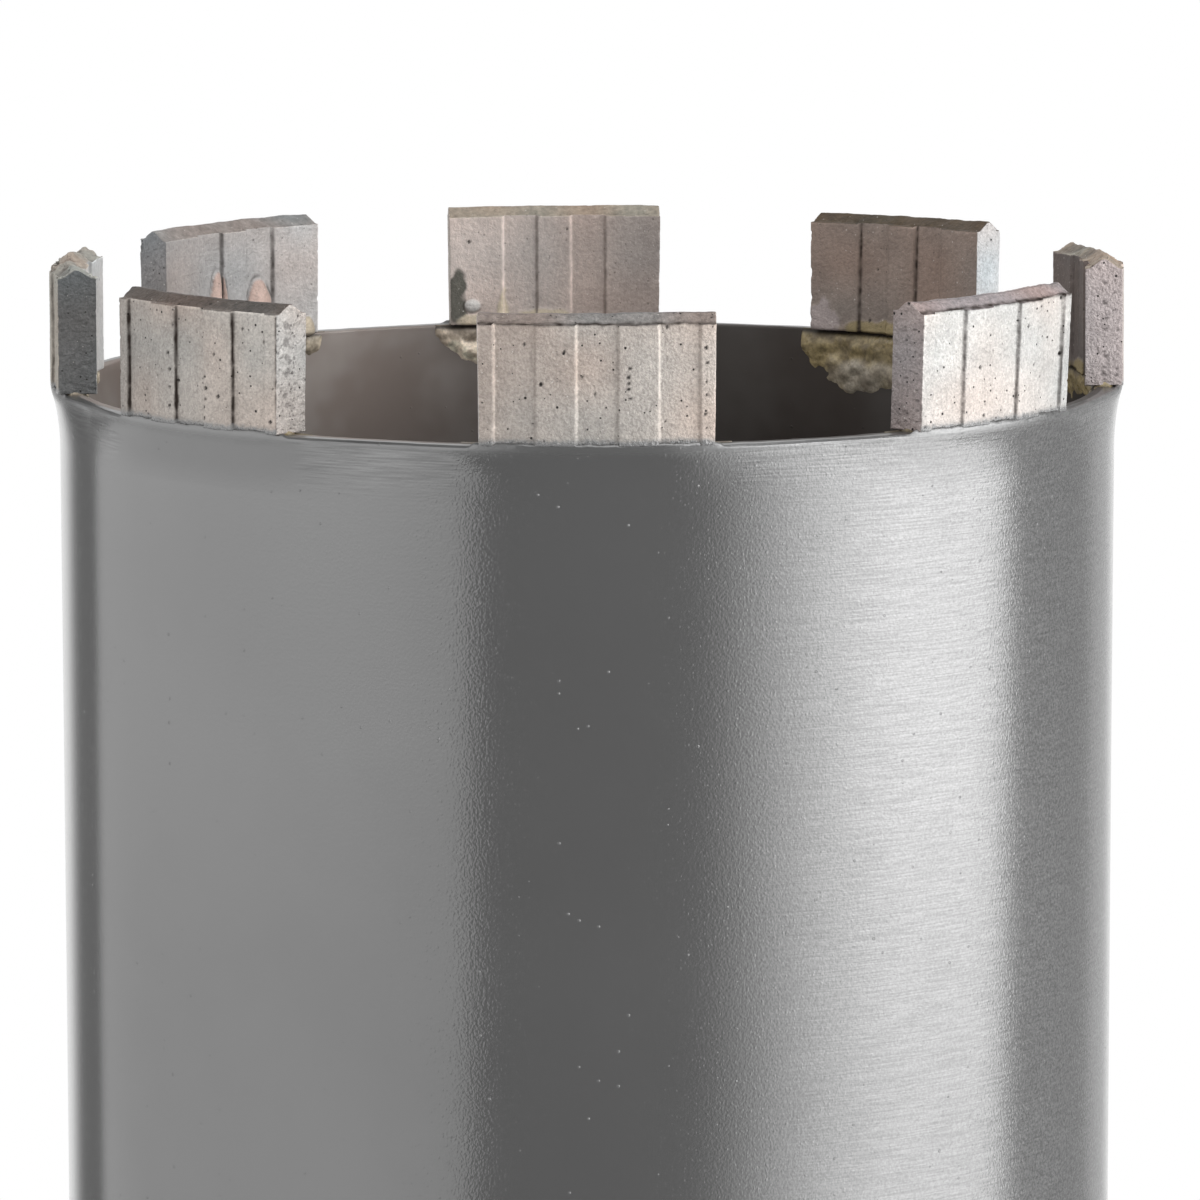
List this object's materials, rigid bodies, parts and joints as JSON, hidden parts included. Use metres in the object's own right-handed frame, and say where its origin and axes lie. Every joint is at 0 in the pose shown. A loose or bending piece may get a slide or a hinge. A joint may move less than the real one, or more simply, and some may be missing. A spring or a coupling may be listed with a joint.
{
  "type": "diamond core bit",
  "caption": "Wet diamond core bit: steel barrel with brazed, fluted segments around its rim and a threaded drive hub at the far end, for drilling round holes in concrete.",
  "frame": {"origin": "centre of the hub's end face, on the axis of the bit", "axes": "+Z along the axis of the bit, from the hub to the crown; +X towards segment 1, before its small turn"},
  "size_m": [0.1142, 0.1144, 0.4016],
  "materials": {
    "barrel_paint": "satin grey paint over brushed steel",
    "weld_paint": "satin grey paint over a rippled weld",
    "hub_steel": "turned",
    "sintered_segment": "pressed and sintered, fine grained with small pits",
    "braze_filler": "flowed filler with dull flux residue"
  },
  "bodies": {
    "root": {"barrel": "barrel_paint", "back_plate": "barrel_paint", "hub": "hub_steel", "plate_weld": "weld_paint", "hub_weld": "weld_paint", "segment_1": "sintered_segment", "segment_2": "sintered_segment", "segment_3": "sintered_segment", "segment_4": "sintered_segment", "segment_5": "sintered_segment", "segment_6": "sintered_segment", "segment_7": "sintered_segment", "segment_8": "sintered_segment", "braze_1": "braze_filler", "braze_2": "braze_filler", "braze_3": "braze_filler", "braze_4": "braze_filler", "braze_5": "braze_filler", "braze_6": "braze_filler", "braze_7": "braze_filler", "braze_8": "braze_filler"}
  },
  "joints": []
}
